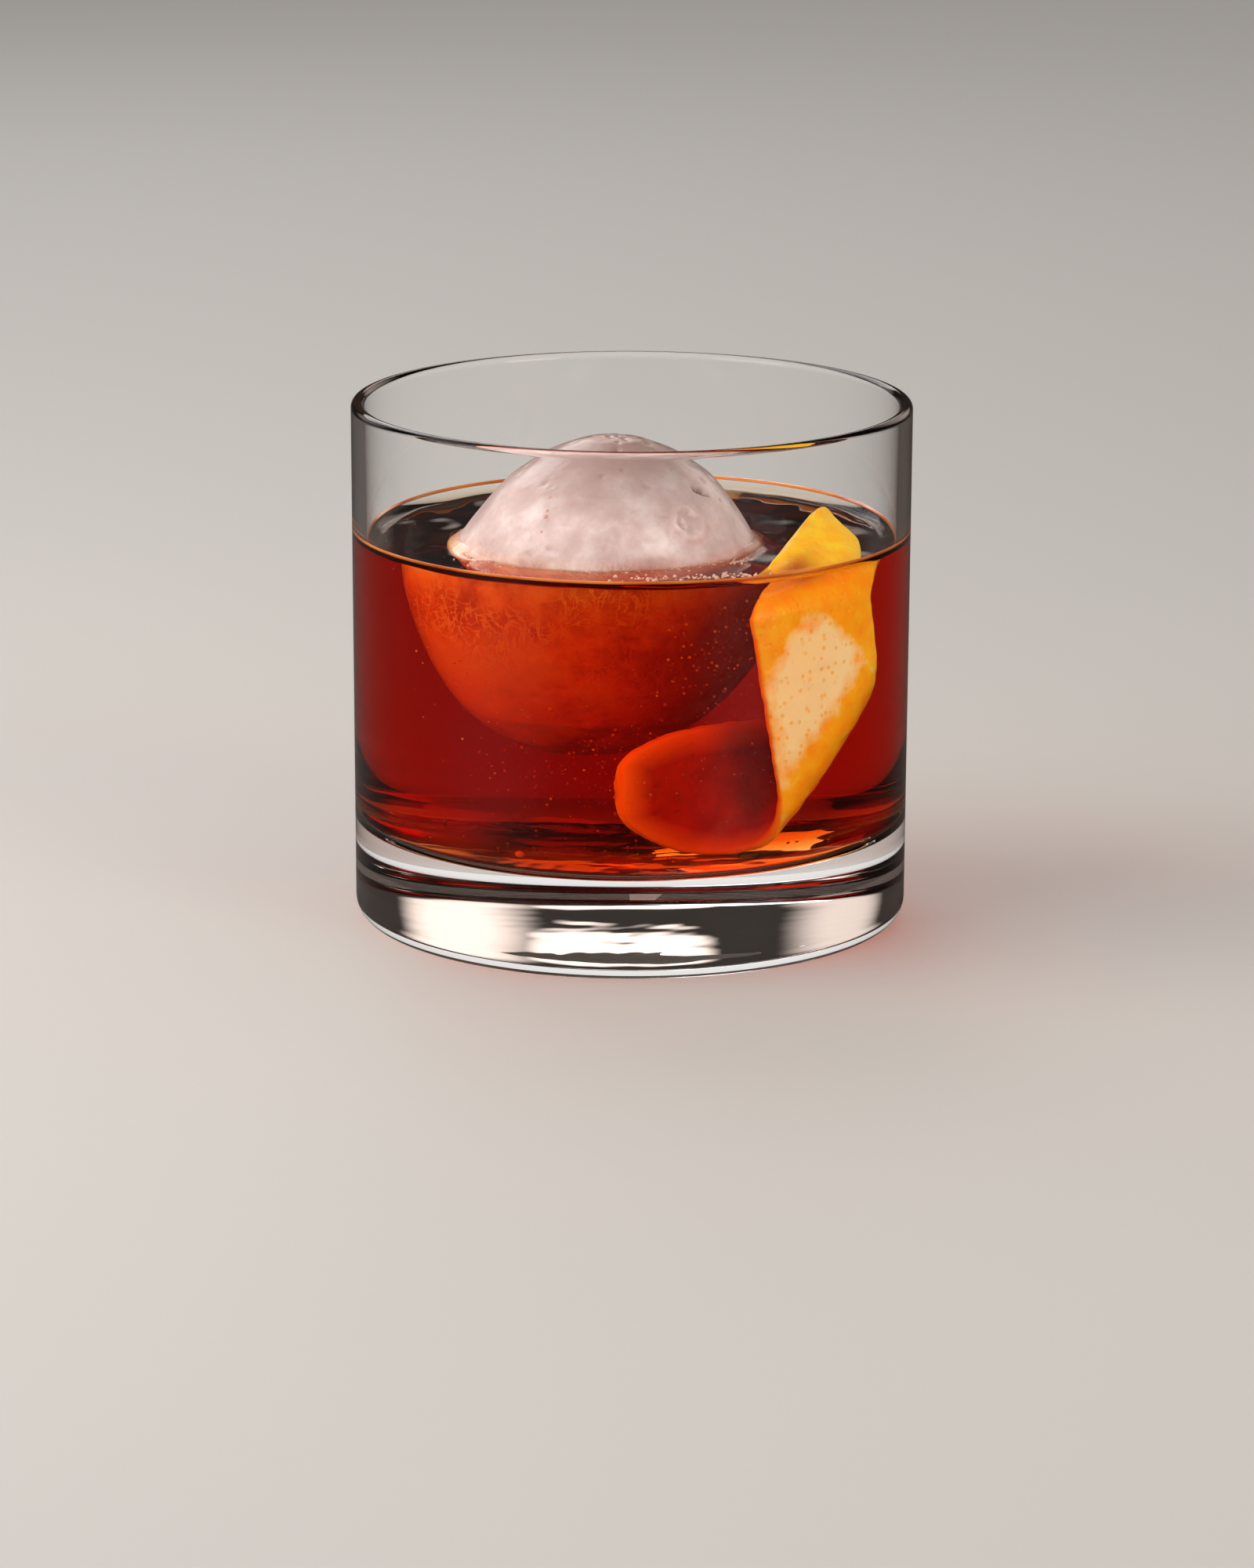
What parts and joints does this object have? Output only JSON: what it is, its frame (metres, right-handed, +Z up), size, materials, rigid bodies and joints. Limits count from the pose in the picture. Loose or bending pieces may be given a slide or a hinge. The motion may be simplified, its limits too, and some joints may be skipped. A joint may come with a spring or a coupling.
{
  "type": "old fashioned cocktail",
  "caption": "Heavy-based straight tumbler of amber-red drink with a large round ball of ice and a folded twist of orange peel",
  "frame": {"origin": "centre of the foot, on the surface it stands on", "axes": "+Z up the axis of the glass, -Y towards the front, where the peel stands to the right, +X right"},
  "size_m": [0.085, 0.085, 0.08],
  "materials": {
    "glass": "clear, polished",
    "drink": "clear liquid",
    "ice": "wet, cloudy",
    "peel": "satin rind, matte pith"
  },
  "bodies": {
    "root": {"glass": "glass", "drink": "drink", "ice_ball": "ice", "orange_peel": "peel"}
  },
  "joints": []
}
